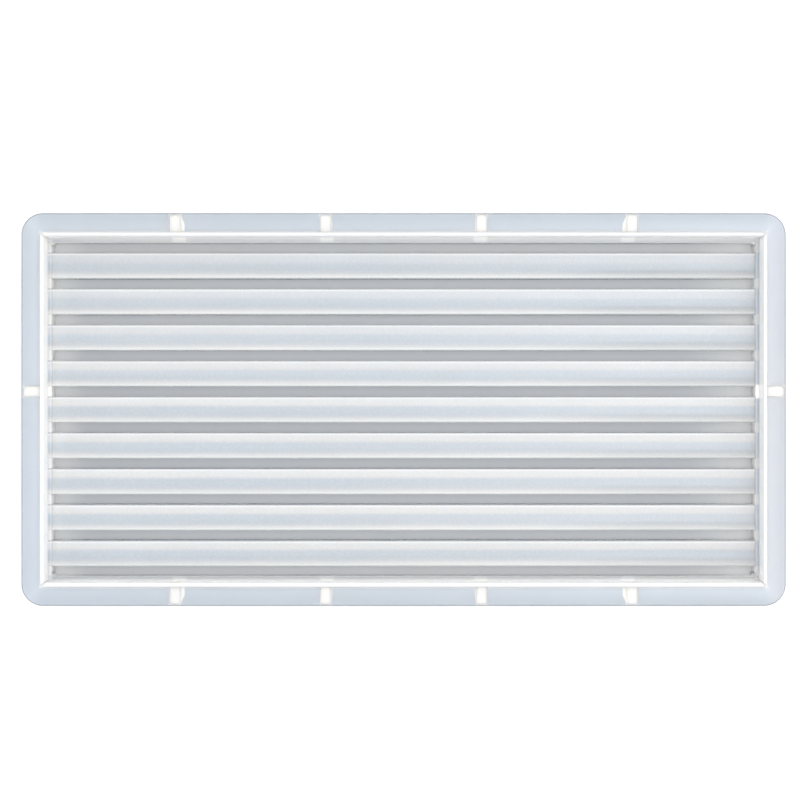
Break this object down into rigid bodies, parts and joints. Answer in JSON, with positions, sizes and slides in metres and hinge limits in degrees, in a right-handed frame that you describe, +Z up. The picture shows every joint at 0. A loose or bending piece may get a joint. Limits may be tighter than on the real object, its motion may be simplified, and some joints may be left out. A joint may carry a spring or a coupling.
{
  "type": "queen excluder",
  "caption": "Rectangular framed queen excluder: thin walls under a flat rim with ribs, crossed by parallel slats that leave slots for worker bees.",
  "frame": {"origin": "centre of the footprint, on the plane of the feet", "axes": "+X along the slats, +Y across them, +Z up out of the open side"},
  "size_m": [0.3202, 0.1644, 0.02],
  "materials": {
    "frosted_sheet": "frosted translucent plastic, bluish where it is a thin sheet",
    "milky_section": "the same plastic seen through its full depth, where it looks milky white"
  },
  "bodies": {
    "root": {"rim": "frosted_sheet", "wall_front": "milky_section", "wall_back": "milky_section", "wall_left": "milky_section", "wall_right": "milky_section", "ledge_front": "milky_section", "ledge_back": "milky_section", "ledge_left": "milky_section", "ledge_right": "milky_section", "slat_1": "frosted_sheet", "slat_2": "frosted_sheet", "slat_3": "frosted_sheet", "slat_4": "frosted_sheet", "slat_5": "frosted_sheet", "slat_6": "frosted_sheet", "slat_7": "frosted_sheet", "slat_8": "frosted_sheet", "slat_9": "frosted_sheet", "rib_front_1": "milky_section", "rib_front_2": "milky_section", "rib_front_3": "milky_section", "rib_front_4": "milky_section", "rib_back_1": "milky_section", "rib_back_2": "milky_section", "rib_back_3": "milky_section", "rib_back_4": "milky_section", "rib_left": "milky_section", "rib_right": "milky_section"}
  },
  "joints": []
}
